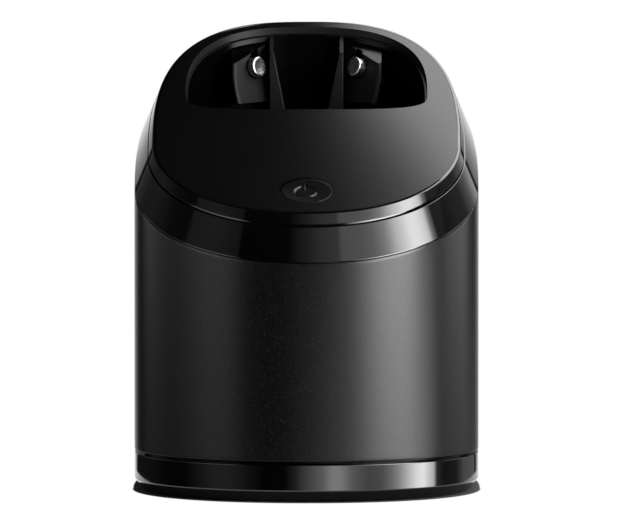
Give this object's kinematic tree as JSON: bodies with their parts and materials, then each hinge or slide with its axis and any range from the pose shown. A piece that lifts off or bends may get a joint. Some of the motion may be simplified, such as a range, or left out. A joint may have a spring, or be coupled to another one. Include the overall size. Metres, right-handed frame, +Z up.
{
  "type": "shaver cleaning station",
  "caption": "Dark upright cleaning station for a shaver: sloping top with a wash well, charging contacts and a start button, lift-up housing, and a fluid cartridge that slides in at the rear.",
  "frame": {"origin": "centre of the body's outline, on the surface that the feet stand on", "axes": "+Z up, -Y towards the front, where the top is lowest, +X to the viewer's right from the front"},
  "size_m": [0.122, 0.1436, 0.1597],
  "materials": {
    "gloss_black": "polished piano-black moulding",
    "satin_black": "fine satin texture",
    "shell_grey": "dark metallic satin lacquer with fine flake",
    "inner_black": "plain moulded plastic",
    "rubber_black": "soft matte rubber",
    "contact_metal": "bright plated rim, brushed face",
    "steel": "plain zinc-plated steel",
    "board_green": "solder-masked circuit board",
    "cartridge_white": "blow-moulded, slightly translucent",
    "hose_clear": "milky silicone"
  },
  "bodies": {
    "base": {"base_tray": "inner_black", "base_ring": "gloss_black", "rubber_feet": "rubber_black", "guide_posts": "steel", "post_base_screws": "steel", "post_stop_screws": "steel", "latch_catches": "steel", "lift_springs": "steel"},
    "housing": {"outer_shell": "shell_grey", "shell_ledge": "inner_black", "chassis_deck": "inner_black", "guide_sleeves": "inner_black", "deck_screws": "steel", "shoulder_ring": "gloss_black", "cover_bezel": "gloss_black", "top_plate": "satin_black", "recess_liner": "gloss_black", "basin_gasket": "rubber_black", "wash_basin": "gloss_black", "basin_screws": "steel", "drain_pipe": "inner_black", "drain_seal": "rubber_black", "suction_tube": "inner_black", "suction_seal": "rubber_black", "pump_housing": "inner_black", "pump_screws": "steel", "pump_cover": "inner_black", "pump_motor": "steel", "supply_hose": "hose_clear", "main_board": "board_green", "board_parts": "inner_black", "board_screws": "steel", "button_board": "board_green", "button_switch": "steel", "status_leds": "cartridge_white", "button_board_screws": "steel", "button_spring": "steel", "power_socket": "inner_black", "socket_pins": "steel", "contact_pod_left": "satin_black", "contact_pod_right": "satin_black", "contact_spring_left": "steel", "contact_spring_right": "steel", "wire_harness": "rubber_black", "latch_spring": "steel"},
    "release": {"lift_button": "satin_black", "latch_slider": "inner_black"},
    "start": {"start_button": "satin_black"},
    "contact_l": {"contact_left": "contact_metal"},
    "contact_r": {"contact_right": "contact_metal"},
    "rotor": {"motor_shaft": "steel", "impeller": "cartridge_white"},
    "cartridge": {"cartridge_tub": "cartridge_white", "cartridge_lid": "cartridge_white", "cartridge_filter": "inner_black", "dip_tube": "inner_black"}
  },
  "joints": [
    {"name": "housing_lift", "type": "slide", "parent": "base", "child": "housing", "axis": [0, 0, 1], "range_m": [0, 0.028], "deforming": ["lift_springs"]},
    {"name": "cartridge_slide", "type": "slide", "parent": "base", "child": "cartridge", "axis": [0, 1, 0], "range_m": [0, 0.138]},
    {"name": "lift_button_push", "type": "slide", "parent": "housing", "child": "release", "axis": [0, -1, 0], "range_m": [0, 0.003], "stiffness_N_per_m": 500, "springref_m": -0.002, "deforming": ["latch_spring"]},
    {"name": "start_button_press", "type": "slide", "parent": "housing", "child": "start", "axis": [0, 0.3939, -0.9191], "range_m": [0, 0.001], "stiffness_N_per_m": 700, "springref_m": -0.001, "deforming": ["button_spring"]},
    {"name": "contact_left_press", "type": "slide", "parent": "housing", "child": "contact_l", "axis": [-0.7096, 0.6617, -0.2419], "range_m": [0, 0.0012], "stiffness_N_per_m": 500, "springref_m": -0.0015, "deforming": ["contact_spring_left"]},
    {"name": "contact_right_press", "type": "slide", "parent": "housing", "child": "contact_r", "axis": [0.7096, 0.6617, -0.2419], "range_m": [0, 0.0012], "stiffness_N_per_m": 500, "springref_m": -0.0015, "deforming": ["contact_spring_right"]},
    {"name": "rotor_spin", "type": "hinge", "parent": "housing", "child": "rotor", "pos_m": [-0.022, -0.03275, 0.0624], "axis": [0, 0, 1], "continuous": true}
  ]
}
